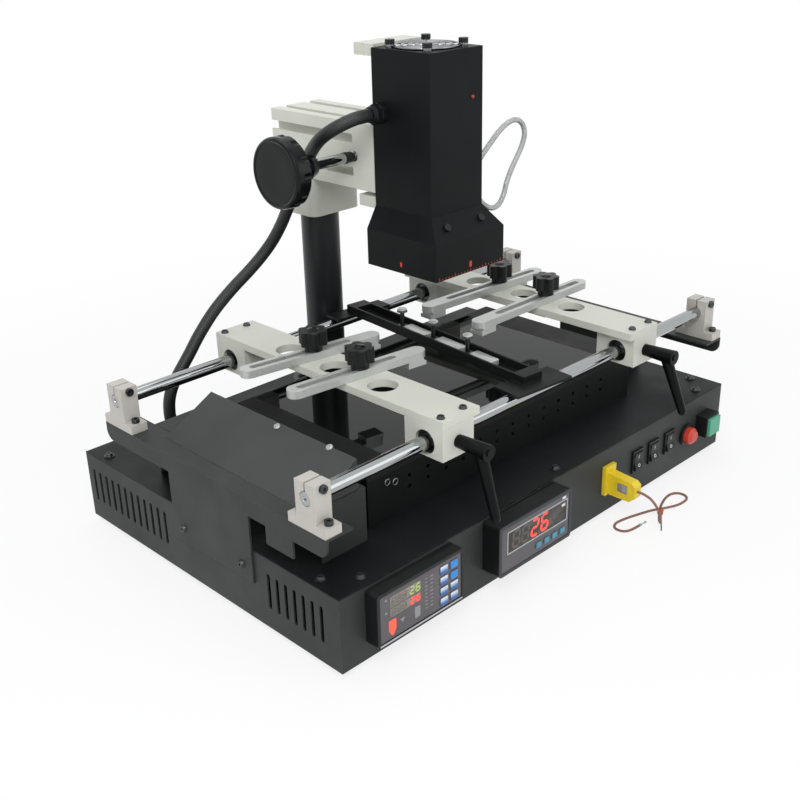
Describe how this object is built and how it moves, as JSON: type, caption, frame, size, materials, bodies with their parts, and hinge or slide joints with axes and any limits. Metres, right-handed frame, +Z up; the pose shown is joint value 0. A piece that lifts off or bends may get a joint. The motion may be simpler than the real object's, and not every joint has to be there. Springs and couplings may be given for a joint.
{
  "type": "bga rework station",
  "caption": "Bench station for chip rework: infrared heater head on a column above a glass preheater, with sliding board clamps on rods and a control panel in the base.",
  "frame": {"origin": "centre of the base box, on the plane the feet rest on", "axes": "+Z up, +X to the right along the control panel, +Y to the back"},
  "size_m": [0.5404, 0.4113, 0.4306],
  "materials": {
    "black_sheet": "satin powder coat",
    "ivory_metal": "fine satin",
    "cast_alloy": "matt",
    "chrome": "polished",
    "steel": "plain",
    "hose_braid": "braided",
    "black_plastic": "fine grain",
    "grey_plastic": "fine grain",
    "film": "printed film",
    "rubber": "matt",
    "black_glass": "polished",
    "ceramic": "unglazed",
    "yellow_plastic": "smooth",
    "wire_sleeve": "woven glass fibre",
    "red_plastic": "smooth",
    "green_plastic": "smooth"
  },
  "bodies": {
    "base": {"base_shell": "black_sheet", "deck": "black_sheet", "feet": "rubber", "base_screws": "steel", "end_plate_left": "black_sheet", "end_plate_right": "black_sheet", "heater_tray": "black_sheet", "heater_glass": "black_glass", "blower_cover": "black_sheet", "blower_hood": "black_sheet", "rods": "chrome", "rod_supports": "cast_alloy", "support_screws": "steel", "column": "black_sheet", "bracket": "ivory_metal", "arm": "ivory_metal", "carriage": "ivory_metal", "head_cable": "rubber", "meter_left": "black_plastic", "meter_right": "grey_plastic", "display_windows": "film", "panel_fittings": "black_plastic", "probe_socket": "yellow_plastic", "probe_plug": "yellow_plastic", "probe_wire": "wire_sleeve"},
    "head": {"rail": "ivory_metal", "rack": "steel", "head_housing": "black_sheet", "head_flare": "black_sheet", "emitter": "ceramic", "fan_guard": "chrome", "head_screws": "black_plastic", "cable_gland": "black_plastic", "sensor_hose": "hose_braid"},
    "fan": {"fan": "black_plastic"},
    "wheel": {"handwheel": "black_plastic", "wheel_shaft": "chrome"},
    "left_clamp": {"left_bar": "ivory_metal", "left_blocks": "ivory_metal", "left_fittings": "steel"},
    "right_clamp": {"right_bar": "ivory_metal", "right_blocks": "ivory_metal", "right_fittings": "steel"},
    "arm_l1": {"arm_l1": "cast_alloy"},
    "arm_l2": {"arm_l2": "cast_alloy"},
    "arm_r1": {"arm_r1": "cast_alloy"},
    "arm_r2": {"arm_r2": "cast_alloy"},
    "knob_l1": {"knob_l1": "black_plastic"},
    "knob_l2": {"knob_l2": "black_plastic"},
    "knob_r1": {"knob_r1": "black_plastic"},
    "knob_r2": {"knob_r2": "black_plastic"},
    "lever_left": {"lever_left": "black_plastic"},
    "lever_right": {"lever_right": "black_plastic"},
    "support": {"support_bar": "black_sheet", "support_posts": "steel"},
    "rocker_1": {"rocker_1": "black_plastic"},
    "rocker_2": {"rocker_2": "black_plastic"},
    "rocker_3": {"rocker_3": "black_plastic"},
    "red_button": {"red_button": "red_plastic"},
    "green_button": {"green_button": "green_plastic"}
  },
  "joints": [
    {"name": "head_slide", "type": "slide", "parent": "base", "child": "head", "axis": [0, 0, 1], "range_m": [-0.055, 0.003], "deforming": ["head_cable"]},
    {"name": "fan_spin", "type": "hinge", "parent": "head", "child": "fan", "pos_m": [0, -0.017, 0.414], "axis": [0, 0, 1], "continuous": true},
    {"name": "wheel_turn", "type": "hinge", "parent": "base", "child": "wheel", "pos_m": [-0.07, 0.0469, 0.3275], "axis": [-1, 0, 0], "range_deg": [-530, 30]},
    {"name": "left_clamp_slide", "type": "slide", "parent": "base", "child": "left_clamp", "axis": [1, 0, 0], "range_m": [-0.05, 0.015]},
    {"name": "right_clamp_slide", "type": "slide", "parent": "base", "child": "right_clamp", "axis": [1, 0, 0], "range_m": [-0.015, 0.05]},
    {"name": "arm_l1_slide", "type": "slide", "parent": "left_clamp", "child": "arm_l1", "axis": [0.9877, -0.1564, 0], "range_m": [-0.02, 0.015]},
    {"name": "arm_l2_slide", "type": "slide", "parent": "left_clamp", "child": "arm_l2", "axis": [0.9936, -0.1132, 0], "range_m": [-0.02, 0.015]},
    {"name": "arm_r1_slide", "type": "slide", "parent": "right_clamp", "child": "arm_r1", "axis": [-0.9986, 0.0523, 0], "range_m": [-0.02, 0.015]},
    {"name": "arm_r2_slide", "type": "slide", "parent": "right_clamp", "child": "arm_r2", "axis": [-1, 0, 0], "range_m": [-0.02, 0.015]},
    {"name": "knob_l1_turn", "type": "hinge", "parent": "left_clamp", "child": "knob_l1", "pos_m": [-0.122, 0.0085, 0.18], "axis": [0, 0, 1], "range_deg": [-180, 180]},
    {"name": "knob_l2_turn", "type": "hinge", "parent": "left_clamp", "child": "knob_l2", "pos_m": [-0.122, -0.0515, 0.18], "axis": [0, 0, 1], "range_deg": [-180, 180]},
    {"name": "knob_r1_turn", "type": "hinge", "parent": "right_clamp", "child": "knob_r1", "pos_m": [0.129, 0.0085, 0.18], "axis": [0, 0, 1], "range_deg": [-180, 180]},
    {"name": "knob_r2_turn", "type": "hinge", "parent": "right_clamp", "child": "knob_r2", "pos_m": [0.129, -0.0515, 0.18], "axis": [0, 0, 1], "range_deg": [-180, 180]},
    {"name": "lever_left_turn", "type": "hinge", "parent": "left_clamp", "child": "lever_left", "pos_m": [-0.1255, -0.18, 0.1485], "axis": [0, 1, 0], "range_deg": [-60, 60]},
    {"name": "lever_right_turn", "type": "hinge", "parent": "right_clamp", "child": "lever_right", "pos_m": [0.1325, -0.18, 0.1485], "axis": [0, 1, 0], "range_deg": [-60, 60]},
    {"name": "support_slide", "type": "slide", "parent": "base", "child": "support", "axis": [1, 0, 0], "range_m": [-0.012, 0.012]},
    {"name": "rocker_1_tip", "type": "hinge", "parent": "base", "child": "rocker_1", "pos_m": [0.116, -0.17825, 0.042], "axis": [1, 0, 0], "range_deg": [0, 12]},
    {"name": "rocker_2_tip", "type": "hinge", "parent": "base", "child": "rocker_2", "pos_m": [0.143, -0.17825, 0.042], "axis": [1, 0, 0], "range_deg": [0, 12]},
    {"name": "rocker_3_tip", "type": "hinge", "parent": "base", "child": "rocker_3", "pos_m": [0.171, -0.17825, 0.042], "axis": [1, 0, 0], "range_deg": [0, 12]},
    {"name": "red_button_push", "type": "slide", "parent": "base", "child": "red_button", "axis": [0, 1, 0], "range_m": [0, 0.0025], "stiffness_N_per_m": 400, "springref_m": -0.001},
    {"name": "green_button_push", "type": "slide", "parent": "base", "child": "green_button", "axis": [0, 1, 0], "range_m": [0, 0.0025], "stiffness_N_per_m": 400, "springref_m": -0.001}
  ],
  "couplings": [
    {"joint": "wheel_turn", "follows": "head_slide", "rad_per_m": 166.67}
  ]
}
